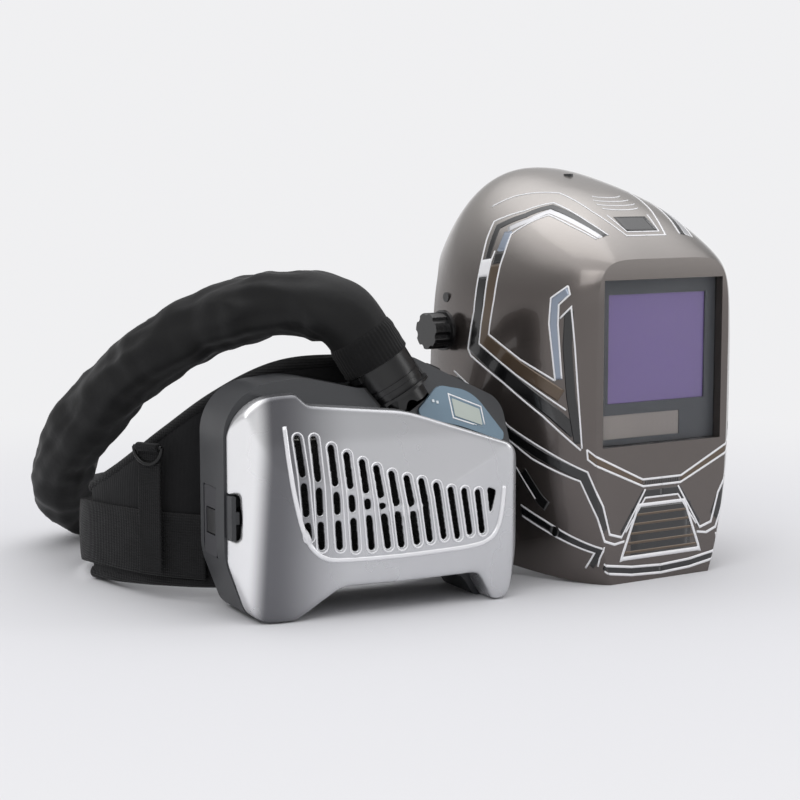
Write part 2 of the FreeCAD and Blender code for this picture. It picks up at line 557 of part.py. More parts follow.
def make_shell():
    outer = Part.makeLoft([arch(s[0]) for s in SHELL_STATIONS], True, False)
    depths = [SHELL_T, 12, 38, 75, 112, 150, 190, 232, 240]
    inner = Part.makeLoft([arch(y, SHELL_T, 12) for y in depths], True, False)
    shell = outer.cut(inner)
    shell = shell.cut(prism(REAR_EDGE, lambda a, b: V(-150, a, b), V(300, 0, 0)))
    x0, z0, x1, z1 = WINDOW
    frame = box(x0 - 2, 0.5, z0 - 2, x1 + 2, 22, z1 + 2)
    shell = join([shell, frame.common(outer)])
    shell = shell.cut(box(x0, -5, z0, x1, 30, z1))
    bores, studs = [], []
    for side in (-1, 1):
        bores.append(cylinder(V(0, PIVOT_Y, PIVOT_Z), X_AXIS * side, 5.05, 90, 130))
        for y, z in ((147, 222), (30, 42)):
            half = shell_half_width(y, z)
            studs.append(join([cylinder(V(0, y, z), X_AXIS * side, 4.0, half - 0.2, half + 1.8),
                               cylinder(V(0, y, z), X_AXIS * side, 2.0, half - 5, half)]))
    crown = station_at(125)[2]
    studs.append(join([cylinder(V(0, 125, 0), Z_AXIS, 4.0, crown - 0.5, crown + 1.8),
                       cylinder(V(0, 125, 0), Z_AXIS, 2.0, crown - 5, crown)]))
    for bore in bores + studs:
        shell = shell.cut(bore)
    shell = max(shell.Solids, key=lambda solid: solid.Volume)
    nodes["helmet_shell"] = helmet_placed(shell)
    nodes["shell_studs"] = helmet_placed(Part.makeCompound(studs))


def make_window():
    x0, z0, x1, z1 = WINDOW
    nodes["cover_lens"] = helmet_placed(box(x0 + 0.4, 7, z0 + 0.4, x1 - 0.4, 8.5, z1 - 0.4))
    lens = (-50, 143, 50, 229)
    solar = (-54, 115, 24, 134)
    body = box(x0 + 0.4, 8.6, z0 + 0.4, x1 - 0.4, 19, z1 - 0.4)
    body = body.cut(box(lens[0], 0, lens[1], lens[2], 30, lens[3]))
    body = body.cut(box(solar[0], 0, solar[1], solar[2], 11, solar[3]))
    sensors = []
    for x, z in ((-38, 235), (42, 235), (-38, 138.5), (42, 138.5)):
        sensors.append(cylinder(V(x, 0, z), Y_AXIS, 2.4, 8.7, 12))
        body = body.cut(sensors[-1])
    nodes["darkening_cartridge"] = helmet_placed(body)
    nodes["arc_sensors"] = helmet_placed(Part.makeCompound(sensors))
    nodes["filter_glass"] = helmet_placed(box(lens[0], 10, lens[1], lens[2], 16, lens[3]))
    nodes["solar_cell"] = helmet_placed(box(solar[0], 9.2, solar[1], solar[2], 11, solar[3]))
    nodes["inner_lens"] = helmet_placed(box(-56, 19, 138, 56, 20.2, 234))
    retainer = box(x0 - 1, 22, z0 - 1, x1 + 1, 24.5, z1 + 1).cut(box(-53, 20, 140, 53, 30, 232))
    clamp = box(x0 + 0.4, 19, z0 + 0.4, x1 - 0.4, 22, z1 - 0.4).cut(box(-56, 18, 138, 56, 30, 234))
    nodes["cartridge_retainer"] = helmet_placed(join([retainer, clamp]))
    nodes["shade_knob"] = helmet_placed(ring(V(0, 0, 124), Y_AXIS, 9, 3, 24.7, 32))
    nodes["shade_knob_post"] = helmet_placed(cylinder(V(0, 0, 124), Y_AXIS, 2.95, 24.5, 33))


def make_face_seal():
    y0, y1 = 50.0, 52.5
    solid = Part.makeLoft([arch(y0, SHELL_T + 0.4, -8), arch(y1, SHELL_T + 0.4, -8)], True, False)
    hole = [(-70, 90, 30), (-70, 215, 45), (-34, 262, 14), (34, 262, 14), (70, 215, 45), (70, 90, 30),
            (40, 56, 25), (-40, 56, 25)]
    nodes["face_seal"] = helmet_placed(solid.cut(front_prism(hole, y0 - 5, y1 + 5)))


# ---------------------------------------------------------------- headgear
BAND_A, BAND_B, BAND_T, BAND_H = 76.0, 96.0, 2.5, 22.0
BAND_TILT = 10.0


def band_ring(grow_out, grow_in, z0, z1):
    """Oval ring round the head between two offsets from the band's middle oval."""
    rings = []
    for grow in (grow_out, grow_in):
        oval = Part.Ellipse(V(0, 0, z0), BAND_B + grow, BAND_A + grow)
        oval.rotate(FreeCAD.Placement(V(0, 0, 0), FreeCAD.Rotation(Z_AXIS, 90), V(0, 0, 0)))
        rings.append(Part.Face(Part.Wire(oval.toShape())).extrude(V(0, 0, z1 - z0)))
    return rings[0].cut(rings[1])


def tilt_band(shape):
    shape.rotate(V(0, 0, 0), X_AXIS, -BAND_TILT)
    shape.translate(V(0, HEAD_Y, HEAD_Z))
    return shape


def head_arc(half_wide, inner, outer, start, end):
    """Strip that follows the head from front to back: angles from the back, in degrees."""
    profile = Part.makePolygon([V(-half_wide, HEAD_Y + inner, HEAD_Z), V(half_wide, HEAD_Y + inner, HEAD_Z),
                                V(half_wide, HEAD_Y + outer, HEAD_Z), V(-half_wide, HEAD_Y + outer, HEAD_Z),
                                V(-half_wide, HEAD_Y + inner, HEAD_Z)])
    face = Part.Face(profile)
    face.rotate(V(0, HEAD_Y, HEAD_Z), X_AXIS, start)
    return face.revolve(V(0, HEAD_Y, HEAD_Z), X_AXIS, end - start)


def make_headgear():
    low, high = -BAND_H / 2, BAND_H / 2
    band = tilt_band(band_ring(BAND_T / 2, -BAND_T / 2, low, high))
    strap = head_arc(11, 97.4, 99.4, 8, 160)
    strap = strap.cut(tilt_band(band_ring(BAND_T / 2 + 0.05, -20, low - 1, high + 1)))
    pad_front = tilt_band(band_ring(-BAND_T / 2, -BAND_T / 2 - 6, low + 1, high - 1))
    nodes["brow_pad"] = helmet_placed(pad_front.common(box(-60, 0, 100, 60, HEAD_Y - 45, 300)))
    nodes["nape_pad"] = helmet_placed(pad_front.common(box(-40, HEAD_Y + 50, 100, 40, 300, 300)))
    nodes["crown_strap"] = helmet_placed(strap)
    arms, bolts = [], []
    for side in (-1, 1):
        x0, x1 = sorted((side * 84, side * 87))
        plate = box(x0, 112, 182, x1, 178, 210)
        s0, s1 = sorted((side * 70, side * 84))
        spacer = box(s0, 146, 184, s1, 170, 200)
        arms.append(join([plate, spacer.cut(tilt_band(band_ring(BAND_T / 2, -20, low - 20, high + 20)))]))
        bolt = cylinder(V(0, PIVOT_Y, PIVOT_Z), X_AXIS * side, 5.0, 87, 132)
        bolts.append(join([bolt, cylinder(V(0, PIVOT_Y, PIVOT_Z), X_AXIS * side, 9.0, 87, 104)]))
    nodes["headband"] = helmet_placed(band)
    nodes["pivot_arms"] = helmet_placed(Part.makeCompound(arms))
    nodes["pivot_bolts"] = helmet_placed(Part.makeCompound(bolts))
    rear_y, rear_z = HEAD_Y + 96.5, HEAD_Z - 17
    gearbox = box(-20, rear_y - 4, rear_z - 11, 20, rear_y + 10, rear_z + 11)
    gearbox = gearbox.cut(tilt_band(band_ring(BAND_T / 2, -30, -40, 40)))
    gearbox = gearbox.cut(cylinder(V(0, rear_y, rear_z), Y_AXIS, 4.0, 2, 20))
    nodes["ratchet_box"] = helmet_placed(gearbox)
    nodes["ratchet_knob"] = helmet_placed(lobed_knob(V(0, rear_y + 10.3, rear_z), Y_AXIS, 16, 15, 7)
                                          .fuse(cylinder(V(0, rear_y, rear_z), Y_AXIS, 3.95, 4, 11)).removeSplitter())
    make_air_duct()


def lobed_knob(base, axis, radius, length, lobes):
    knob = cylinder(base, axis, radius, 0, 3).fuse(cylinder(base, axis, radius * 0.9, 3, length))
    unit = V(axis).normalize()
    reference = V(0, 0, 1) if abs(unit.z) < 0.9 else V(1, 0, 0)
    for i in range(lobes):
        spoke = FreeCAD.Rotation(unit, i * 360.0 / lobes).multVec(reference)
        knob = knob.cut(cylinder(base + spoke * radius * 1.02, axis, radius * 0.24, 4, length + 1))
    return knob.removeSplitter()


def make_air_duct():
    legs = []
    for side in (-1, 1):
        leg = head_arc(7, 100, 106.5, -30, 22)
        leg.translate(V(side * 29, 0, 0))
        legs.append(leg)
    crown = head_arc(26, 100, 106.5, 20, 112)
    box_duct = box(-36, 240, 104, 36, 262, 136)
    box_duct = box_duct.cut(head_arc(40, 50, 99.9, -60, 10))
    spigot = cylinder(INLET_AT, INLET_DIR, INLET_R, -6, INLET_LEN)
    whole = join(legs + [crown, box_duct, spigot])
    core = head_arc(24.4, 101.6, 104.9, 22, 113)
    whole = whole.cut(core).cut(cylinder(INLET_AT, INLET_DIR, INLET_R - 2, -2, INLET_LEN + 1))
    nodes["air_duct"] = helmet_placed(whole)


def make_pivot_knobs():
    for name, side in (("pivot_knob_left", -1), ("pivot_knob_right", 1)):
        base = V(side * PIVOT_KNOB_X, PIVOT_Y, PIVOT_Z)
        knob = lobed_knob(base, X_AXIS * side, 16.5, 18, 7)
        nodes[name] = helmet_placed(knob.cut(cylinder(base, X_AXIS * side, 5.05, -1, 17)))


def export(shapes):
    os.makedirs("parts", exist_ok=True)
    for old in os.listdir("parts"):
        os.remove(os.path.join("parts", old))
    for name, shape in shapes.items():
        moved = shape.copy()
        moved.translate(ORIGIN * -1)
        moved.exportStep("parts/%s.step" % name)


outlet_cup = make_blower()
nodes["filter_cover"] = make_filter_cover()
make_fan()
make_filter()
make_battery()
make_display()
hose_start = make_outlet(outlet_cup)
make_cover_latch()
make_belt()
make_shell()
make_window()
make_face_seal()
make_headgear()
make_pivot_knobs()
make_hose(hose_start)
export(nodes)
whole = Part.makeCompound([s for n, s in nodes.items() if not n.startswith(("air_hose", "hose_cuff"))])
print("body box", whole.BoundBox)
for node, solid in nodes.items():
    if not solid.isValid() or solid.Volume <= 0 or not solid.Solids:
        print("BAD", node, solid.isValid(), solid.Volume, len(solid.Solids))
print(len(nodes), "nodes")
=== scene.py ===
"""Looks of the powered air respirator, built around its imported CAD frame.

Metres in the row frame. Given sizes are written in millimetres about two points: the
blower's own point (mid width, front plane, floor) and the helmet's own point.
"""
import json
import math

import bmesh
import bpy
import numpy as np
from mathutils import Matrix, Vector, noise
from mathutils.bvhtree import BVHTree


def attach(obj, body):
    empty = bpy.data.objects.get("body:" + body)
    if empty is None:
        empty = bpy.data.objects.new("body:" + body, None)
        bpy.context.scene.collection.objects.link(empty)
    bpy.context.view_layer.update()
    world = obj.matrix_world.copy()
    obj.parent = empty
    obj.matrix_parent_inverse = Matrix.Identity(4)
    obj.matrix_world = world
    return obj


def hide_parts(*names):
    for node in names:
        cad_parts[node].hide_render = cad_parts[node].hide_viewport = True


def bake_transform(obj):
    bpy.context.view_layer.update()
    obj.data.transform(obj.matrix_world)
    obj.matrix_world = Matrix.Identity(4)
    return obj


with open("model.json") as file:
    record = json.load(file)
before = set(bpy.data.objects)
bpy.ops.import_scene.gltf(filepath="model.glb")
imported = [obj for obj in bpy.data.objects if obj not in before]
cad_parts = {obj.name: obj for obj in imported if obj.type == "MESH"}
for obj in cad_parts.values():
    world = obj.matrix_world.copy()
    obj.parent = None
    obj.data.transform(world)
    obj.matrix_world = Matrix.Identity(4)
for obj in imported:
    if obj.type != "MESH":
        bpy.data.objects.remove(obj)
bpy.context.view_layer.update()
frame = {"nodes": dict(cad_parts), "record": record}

MM = 0.001
mounts = {m["name"]: Vector(m["pos_m"]) for m in frame["record"]["mounts"]}
BLOWER_POINT = Vector((-82, 50, 0)) - mounts["table_face"] / MM
HELMET_YAW = math.radians(7)


def row(x, y, z):
    """Point given in mm about the blower's own point, in the row frame."""
    return (Vector((x, y, z)) - BLOWER_POINT) * MM


TURN = Matrix.Rotation(HELMET_YAW, 4, "Z")
HELMET = Matrix.Translation(mounts["cover_lens_seat"] - TURN @ (Vector((0, 7, 175.5)) * MM)) @ TURN


def on_helmet(x, y, z):
    """Point given in mm about the helmet's own point, in the row frame."""
    return HELMET @ (Vector((x, y, z)) * MM)


# ---------------------------------------------------------------- camera and light
CAMERA_AT = row(-592, -1243.7, 326)
CAMERA_TURN, CAMERA_PITCH = math.radians(-26), math.radians(90 - 6.9)
camera = bpy.data.objects.new("camera", bpy.data.cameras.new("camera"))
bpy.context.scene.collection.objects.link(camera)
camera.data.lens = 85.5
camera.data.sensor_width = 36
camera.location = CAMERA_AT
camera.rotation_euler = (CAMERA_PITCH, 0, CAMERA_TURN)
bpy.context.scene.camera = camera
bpy.context.scene.view_settings.view_transform = "Standard"

world = bpy.data.worlds.new("studio")
bpy.context.scene.world = world
world.use_nodes = True
sky = world.node_tree
upward = sky.nodes.new("ShaderNodeSeparateXYZ")
sky.links.new(sky.nodes.new("ShaderNodeTexCoord").outputs["Generated"], upward.inputs[0])
shades = sky.nodes.new("ShaderNodeValToRGB")
sky.links.new(upward.outputs["Z"], shades.inputs["Fac"])
sky.links.new(shades.outputs["Color"], sky.nodes["Background"].inputs["Color"])
HEIGHTS = ((0.0, 0.87), (0.13, 0.87), (0.30, 0.42), (0.55, 0.42), (0.78, 1.5))
shades.color_ramp.elements.remove(shades.color_ramp.elements[1])
for place, value in HEIGHTS:
    stop = shades.color_ramp.elements[0] if place == 0 else shades.color_ramp.elements.new(place)
    stop.color = (value, value, value * 1.015, 1)


def softbox(name, at, aim, size, power):
    lamp = bpy.data.lights.new(name, "AREA")
    lamp.shape = "RECTANGLE"
    lamp.size, lamp.size_y = size
    lamp.energy = power
    holder = bpy.data.objects.new(name, lamp)
    bpy.context.scene.collection.objects.link(holder)
    holder.location = at
    holder.rotation_euler = (Vector(aim) - Vector(at)).to_track_quat("-Z", "Y").to_euler()


softbox("key_light", (-1.5, -1.3, 1.6), (-0.05, 0, 0.1), (1.2, 1.2), 9)
softbox("right_light", (1.9, -1.0, 1.0), (0.1, 0, 0.15), (0.7, 1.6), 7)
softbox("top_light", (0.1, 0.3, 2.2), (0, 0, 0), (1.8, 1.2), 5)


# ---------------------------------------------------------------- materials
def linear(colour):
    """Display colour to the linear values that the shader takes."""
    return [((c + 0.055) / 1.055) ** 2.4 if c > 0.04 else c / 12.92 for c in colour]


def node(tree, kind, **settings):
    made = tree.nodes.new(kind)
    for key, value in settings.items():
        if hasattr(made, key):
            setattr(made, key, value)
        else:
            made.inputs[key].default_value = value
    return made


def relief(tree, where, kind, scale, depth, stretch, normal):
    """Adds one layer of bump on top of another and returns its normal."""
    spread = node(tree, "ShaderNodeMapping")
    spread.inputs["Scale"].default_value = stretch
    tree.links.new(where, spread.inputs["Vector"])
    if kind == "noise":
        height = node(tree, "ShaderNodeTexNoise", Scale=scale, Detail=3.0)
        value = height.outputs["Fac"]
    elif kind == "cells":
        height = node(tree, "ShaderNodeTexVoronoi", Scale=scale)
        value = height.outputs["Distance"]
    else:
        height = node(tree, "ShaderNodeTexWave", Scale=scale, Distortion=0.25, bands_direction=kind)
        value = height.outputs["Fac"]
    tree.links.new(spread.outputs["Vector"], height.inputs["Vector"])
    bump = node(tree, "ShaderNodeBump", Distance=depth * MM, Strength=1.0)
    tree.links.new(value, bump.inputs["Height"])
    if normal is not None:
        tree.links.new(normal, bump.inputs["Normal"])
    return bump.outputs["Normal"]


def material(name, colour, rough, second=None, patch=18.0, layers=(), sharp=False, **sockets):
    """Procedural finish: two colours in soft patches, uneven roughness and layers of bump."""
    made = bpy.data.materials.new(name)
    made.use_nodes = True
    tree = made.node_tree
    shader = tree.nodes["Principled BSDF"]
    for key, value in sockets.items():
        shader.inputs[key.replace("_", " ")].default_value = value
    where = node(tree, "ShaderNodeTexCoord").outputs["Object"]
    cloud = node(tree, "ShaderNodeTexNoise", Scale=patch, Detail=4.0, Roughness=0.6)
    tree.links.new(where, cloud.inputs["Vector"])
    blend = node(tree, "ShaderNodeMix", data_type="RGBA")
    first = linear(colour)
    other = linear(second) if second else [c * 0.86 for c in first]
    blend.inputs[6].default_value = (*first, 1)
    blend.inputs[7].default_value = (*other, 1)
    tree.links.new(cloud.outputs["Fac"], blend.inputs[0])
    tree.links.new(blend.outputs[2], shader.inputs["Base Color"])
    uneven = node(tree, "ShaderNodeMapRange")
    uneven.inputs["To Min"].default_value = rough * 0.88
    uneven.inputs["To Max"].default_value = min(rough * 1.15, 1)
    tree.links.new(cloud.outputs["Fac"], uneven.inputs["Value"])
    tree.links.new(uneven.outputs["Result"], shader.inputs["Roughness"])
    normal = None
    for kind, scale, depth, *stretch in layers:
        normal = relief(tree, where, kind, scale, depth, stretch[0] if stretch else (1, 1, 1), normal)
    if normal is not None:
        tree.links.new(normal, shader.inputs["Normal"])
    return made


def graded(made, axis, low, high, colour, bend=0.0):
    """Blends a second colour in along one axis of the row frame, from low to high in mm; each use below
    paints light or shade into a base colour.
    """
    tree = made.node_tree
    shader = tree.nodes["Principled BSDF"]
    before = shader.inputs["Base Color"].links[0].from_socket
    where = node(tree, "ShaderNodeTexCoord").outputs["Object"]
    parts = node(tree, "ShaderNodeSeparateXYZ")
    tree.links.new(where, parts.inputs["Vector"])
    ramp = node(tree, "ShaderNodeMapRange", interpolation_type="SMOOTHSTEP")
    ramp.inputs["From Min"].default_value = low * MM
    ramp.inputs["From Max"].default_value = high * MM
    value = parts.outputs[axis]
    if bend:
        lean = node(tree, "ShaderNodeMath", operation="MULTIPLY_ADD")
        lean.inputs[1].default_value = bend
        tree.links.new(parts.outputs["Z"], lean.inputs[0])
        tree.links.new(value, lean.inputs[2])
        value = lean.outputs[0]
    tree.links.new(value, ramp.inputs["Value"])
    blend = node(tree, "ShaderNodeMix", data_type="RGBA")
    blend.inputs[7].default_value = (*linear(colour), 1)
    tree.links.new(before, blend.inputs[6])
    tree.links.new(ramp.outputs["Result"], blend.inputs[0])
    tree.links.new(blend.outputs[2], shader.inputs["Base Color"])
    return made


GRAIN = ("noise", 1400, 0.05)
SOFT_GRAIN = ("noise", 600, 0.04)
WEAVE = [("X", 420, 0.10), ("Z", 420, 0.10)]
finishes = {
    "charcoal_plastic": material("charcoal_plastic", (0.20, 0.205, 0.215), 0.40, (0.165, 0.17, 0.18),
                                 layers=[GRAIN]),
    "screw_steel": material("screw_steel", (0.35, 0.35, 0.36), 0.35, layers=[SOFT_GRAIN], Metallic=1.0),
    "fan_plastic": material("fan_plastic", (0.16, 0.16, 0.17), 0.5, layers=[GRAIN]),
    "motor_steel": material("motor_steel", (0.7, 0.7, 0.7), 0.3,
                            layers=[("noise", 900, 0.02, (1, 40, 1))],
                            Metallic=1.0),
    "filter_media": material("filter_media", (0.86, 0.86, 0.83), 0.9, layers=[("X", 120, 0.9)]),
    "gasket_rubber": material("gasket_rubber", (0.10, 0.10, 0.10), 0.85, layers=[("cells", 500, 0.15)]),
    "mesh_steel": material("mesh_steel", (0.045, 0.045, 0.05), 0.6, layers=[("X", 260, 0.5),
                                                                            ("Z", 260, 0.5)],
                           Metallic=0.3),
    "facia_blue": material("facia_blue", (0.37, 0.45, 0.51), 0.22, (0.43, 0.52, 0.58), patch=30,
                           layers=[("noise", 900, 0.01)], Coat_Weight=0.8),
    "screen_glass": material("screen_glass", (0.70, 0.73, 0.70), 0.18, (0.64, 0.67, 0.65),
                             Coat_Weight=0.6),
    "lamp_lens": material("lamp_lens", (0.85, 0.88, 0.9), 0.2, Coat_Weight=0.5),
    "board_green": material("board_green", (0.10, 0.32, 0.16), 0.5, layers=[("cells", 400, 0.2)]),
    "black_plastic": material("black_plastic", (0.06, 0.06, 0.063), 0.3, (0.04, 0.04, 0.042),
                              layers=[GRAIN]),
    "belt_fabric": material("belt_fabric", (0.10, 0.10, 0.105), 0.85, (0.06, 0.06, 0.065), patch=30,
                            layers=WEAVE + [("noise", 60, 0.5)], Sheen_Weight=0.1,
                            Specular_IOR_Level=0.15),
    "webbing": material("webbing", (0.085, 0.085, 0.09), 0.7, (0.05, 0.05, 0.053), patch=60,
                        layers=[("Z", 150, 0.35), ("X", 300, 0.2)], Sheen_Weight=0.06,
                        Specular_IOR_Level=0.2),
    "sleeve_fabric": material("sleeve_fabric", (0.055, 0.055, 0.058), 0.55, (0.035, 0.035, 0.037),
                              patch=14,
                              layers=[("noise", 35, 1.2), ("noise", 700, 0.06)], Sheen_Weight=0.05,
                              Specular_IOR_Level=0.25),
    "cuff_fabric": material("cuff_fabric", (0.075, 0.075, 0.078), 0.85, (0.05, 0.05, 0.052), patch=80,
                            layers=[("noise", 500, 0.2)], Sheen_Weight=0.08, Specular_IOR_Level=0.2),
    "silver_paint": material("silver_paint", (0.80, 0.80, 0.81), 0.27, (0.75, 0.755, 0.765), patch=6,
                             layers=[("noise", 1200, 0.012)], Metallic=0.75, Coat_Weight=0.3),
    "battery_plastic": material("battery_plastic", (0.20, 0.20, 0.215), 0.45, layers=[GRAIN]),
    "button_rubber": material("button_rubber", (0.14, 0.14, 0.145), 0.6, layers=[GRAIN]),
    "ring_wire": material("ring_wire", (0.10, 0.10, 0.10), 0.3, layers=[SOFT_GRAIN], Metallic=0.4),
    "headgear_plastic": material("headgear_plastic", (0.14, 0.14, 0.145), 0.45, layers=[GRAIN]),
    "pad_foam": material("pad_foam", (0.16, 0.16, 0.17), 0.95, (0.12, 0.12, 0.13), patch=60,
                         layers=WEAVE, Sheen_Weight=0.3),
    "duct_plastic": material("duct_plastic", (0.18, 0.18, 0.19), 0.5, layers=[GRAIN]),
    "knob_plastic": material("knob_plastic", (0.07, 0.07, 0.075), 0.25, (0.05, 0.05, 0.052),
                             layers=[SOFT_GRAIN], Coat_Weight=0.3),
    "shell_paint": material("shell_paint", (0.40, 0.372, 0.358), 0.25, (0.345, 0.32, 0.31), patch=9,
                            layers=[("noise", 1500, 0.012)], Metallic=0.8, Coat_Weight=0.6),
    "clear_lens": material("clear_lens", (1, 1, 1), 0.02, (0.98, 0.98, 0.99), Transmission_Weight=1.0,
                           IOR=1.15),
    "cartridge_plastic": material("cartridge_plastic", (0.33, 0.34, 0.355), 0.5, (0.29, 0.30, 0.31),
                                  layers=[GRAIN]),
    "sensor_glass": material("sensor_glass", (0.22, 0.19, 0.2), 0.12, Coat_Weight=1.0),
    "filter_glass": material("filter_glass", (0.47, 0.39, 0.62), 0.12, (0.44, 0.37, 0.58), patch=7,
                             Coat_Weight=0.6),
    "solar_cell": material("solar_cell", (0.60, 0.57, 0.54), 0.25, (0.52, 0.49, 0.47), patch=12,
                           layers=[("X", 60, 0.05)], Coat_Weight=0.5),
    "seal_fabric": material("seal_fabric", (0.15, 0.15, 0.16), 0.95, (0.11, 0.11, 0.12), patch=50,
                            layers=WEAVE, Sheen_Weight=0.3),
}
# painted highlight: near-white silver for the cover ridge and slot beads, lighter than the cover to stand
# in for light catching their edges
finishes["painted_highlight_rim"] = material("painted_highlight_rim", (0.93, 0.93, 0.94), 0.2, (0.90, 0.90, 0.91), patch=6,
                                  layers=[SOFT_GRAIN],
                                  Metallic=0.4)
LEFT_BAND = -96 - BLOWER_POINT.x
# painted shade: the silver paint turns dark grey towards the crease beside the cover's left band,
# standing in for reflected shade
graded(finishes["silver_paint"], "X", LEFT_BAND + 72, LEFT_BAND + 8, (0.40, 0.40, 0.415), bend=-0.06)
# painted highlight: the rounded left band of the cover is painted near white, standing in for the light
# on its curve
graded(finishes["silver_paint"], "X", LEFT_BAND + 5, LEFT_BAND - 9, (0.95, 0.95, 0.955), bend=-0.06)
# painted highlight: the pewter shell paint turns lighter towards the top of the helmet, standing in for
# the light falling from above
graded(finishes["shell_paint"], "Z", 215, 330, (0.72, 0.70, 0.68))
# painted reflection: a pink tint blended into the top of the violet filter lens, standing in for a
# reflection on the glass
graded(finishes["filter_glass"], "Z", 195, 228, (0.62, 0.45, 0.60), bend=-0.15)

mark_white = material("mark_white", (0.93, 0.93, 0.94), 0.3, Coat_Weight=0.5)
mark_silver = material("mark_silver", (0.80, 0.80, 0.81), 0.25, Metallic=0.5, Coat_Weight=0.5)
mark_blue = material("mark_blue", (0.56, 0.60, 0.66), 0.25, Metallic=0.5, Coat_Weight=0.5)
mark_black = material("mark_black", (0.06, 0.06, 0.065), 0.2, Coat_Weight=0.6)
mark_bronze = material("mark_bronze", (0.36, 0.30, 0.24), 0.28, Metallic=0.5, Coat_Weight=0.6)

for entry in frame["record"]["subparts"]:
    cad = frame["nodes"][entry["node"]]
    cad.data.materials.clear()
    cad.data.materials.append(finishes[entry["material_slot"]])


# ---------------------------------------------------------------- mesh helpers
def piece(name, points, faces, finish, body=None):
    mesh = bpy.data.meshes.new(name)
    mesh.from_pydata([tuple(p) for p in points], [], faces)
    mesh.update()
    fixed = bmesh.new()
    fixed.from_mesh(mesh)
    bmesh.ops.recalc_face_normals(fixed, faces=fixed.faces)
    fixed.to_mesh(mesh)
    fixed.free()
    mesh.polygons.foreach_set("use_smooth", [True] * len(mesh.polygons))
    mesh.materials.append(finish)
    made = bpy.data.objects.new(name, mesh)
    bpy.context.scene.collection.objects.link(made)
    if body:
        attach(made, body)
    return made


def loft_faces(rows, columns, capped=True, closed=False):
    """Faces of a tube of rings; each ring has the same number of points."""
    faces = []
    for i in range(rows if closed else rows - 1):
        for j in range(columns):
            a, b = i * columns + j, i * columns + (j + 1) % columns
            step = (i + 1) % rows * columns
            faces.append((a, b, step + (j + 1) % columns, step + j))
    if capped and not closed:
        faces.append(tuple(range(columns)))
        faces.append(tuple(range((rows - 1) * columns, rows * columns)))
    return faces


def flowing(stations, steps):
    """Stations (tuples of numbers) joined by a smooth curve through all of them."""
    made = []
    for i in range(len(stations) - 1):
        before, here = stations[max(i - 1, 0)], stations[i]
        there, after = stations[i + 1], stations[min(i + 2, len(stations) - 1)]
        for k in range(steps):
            t = k / steps
            made.append([0.5 * (2 * b + (c - a) * t + (2 * a - 5 * b + 4 * c - d) * t * t
                                + (3 * b - a - 3 * c + d) * t ** 3)
                         for a, b, c, d in zip(before, here, there, after)])
    made.append(list(stations[-1]))
    return made


# ---------------------------------------------------------------- air hose
NECK_BASE, NECK_DIR = Vector((33, 46, 158)), Vector((-0.49, 0.18, 0.853)).normalized()
HOSE_D = 48.0
HOSE_ROUTE = [(8.8, 54.9, 200.1), (2, 57.4, 212), (-9, 66, 222), (-25, 84, 226.5), (-46, 113, 223.5),
              (-73, 150, 210.5), (-101, 192, 187), (-127, 240, 151), (-142, 278, 115), (-149, 316, 80),
              (-142, 352, 50), (-118, 380, 31), (-78, 394, 26.5), (-30, 393, 26.5), (20, 387, 26.5),
              (70, 384, 26.5), (120, 388, 27), (166, 388, 34), (204, 374, 50), (215.5, 331.5, 76.6),
              (218.3, 309.2, 93.4)]


def route_line(points):
    """Points along the smooth NURBS line that a route's points control."""
    curve = bpy.data.curves.new("route", "CURVE")
    curve.dimensions = "3D"
    spline = curve.splines.new("NURBS")
    spline.points.add(len(points) - 1)
    for held, point in zip(spline.points, points):
        held.co = (*point, 1)
    spline.order_u = 3
    spline.use_endpoint_u = True
    spline.resolution_u = 14
    holder = bpy.data.objects.new("route", curve)
    bpy.context.scene.collection.objects.link(holder)
    bpy.context.view_layer.update()
    line = bpy.data.meshes.new_from_object(holder)
    found = [v.co.copy() for v in line.vertices]
    bpy.data.objects.remove(holder)
    return found


def sleeve_radius(along, angle, total):
    """Loose fabric over the hose: long folds, short tucks, pleats on one side of the hose, calm ends."""
    calm = min(along, total - along, 40) / 40
    folds = noise.noise(Vector((along / 46, math.cos(angle) * 1.1, math.sin(angle) * 1.1)))
    tucks = noise.noise(Vector((along / 17 + 9, math.cos(angle) * 0.8 + 5, math.sin(angle) * 0.8)))
    pleat = math.sin(along / 8.5 + 2.5 * folds + angle) * max(0, math.sin(angle - 0.6)) * 0.8
    crease = -abs(noise.noise(Vector((along / 60 + 3, math.cos(angle) * 1.9,
                                      math.sin(angle) * 1.9 + 7))))
    loose = 1.9 + 3.6 * folds + 2.4 * max(tucks, -0.6) + pleat + 4.5 * max(crease + 0.12, -0.5)
    return HOSE_D / 2 + 0.6 + calm * min(loose, 6.0)


hose_line = route_line([row(*p) for p in HOSE_ROUTE])
hose_length = sum((b - a).length for a, b in zip(hose_line, hose_line[1:]))
rings, faces_round = [], 56
facing = Vector((0, 0, 1))
walked = 0.0
dense = []
for a, b in zip(hose_line, hose_line[1:]):
    count = max(1, round((b - a).length / 0.0028))
    dense += [a.lerp(b, k / count) for k in range(count)]
dense.append(hose_line[-1])
for i, here in enumerate(dense):
    ahead = (dense[min(i + 1, len(dense) - 1)] - dense[max(i - 1, 0)]).normalized()
    facing = (facing - ahead * facing.dot(ahead)).normalized()
    side = ahead.cross(facing)
    for k in range(faces_round):
        angle = 2 * math.pi * k / faces_round
        radius = sleeve_radius(walked / MM, angle, hose_length / MM) * MM
        point = here + (facing * math.cos(angle) + side * math.sin(angle)) * radius
        point.z = max(point.z, 0.5 * MM)
        rings.append(point)
    if i + 1 < len(dense):
        walked += (dense[i + 1] - here).length
hose = piece("air_hose_sleeve", rings, loft_faces(len(dense), faces_round), finishes["sleeve_fabric"])
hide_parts("air_hose")
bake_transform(hose)


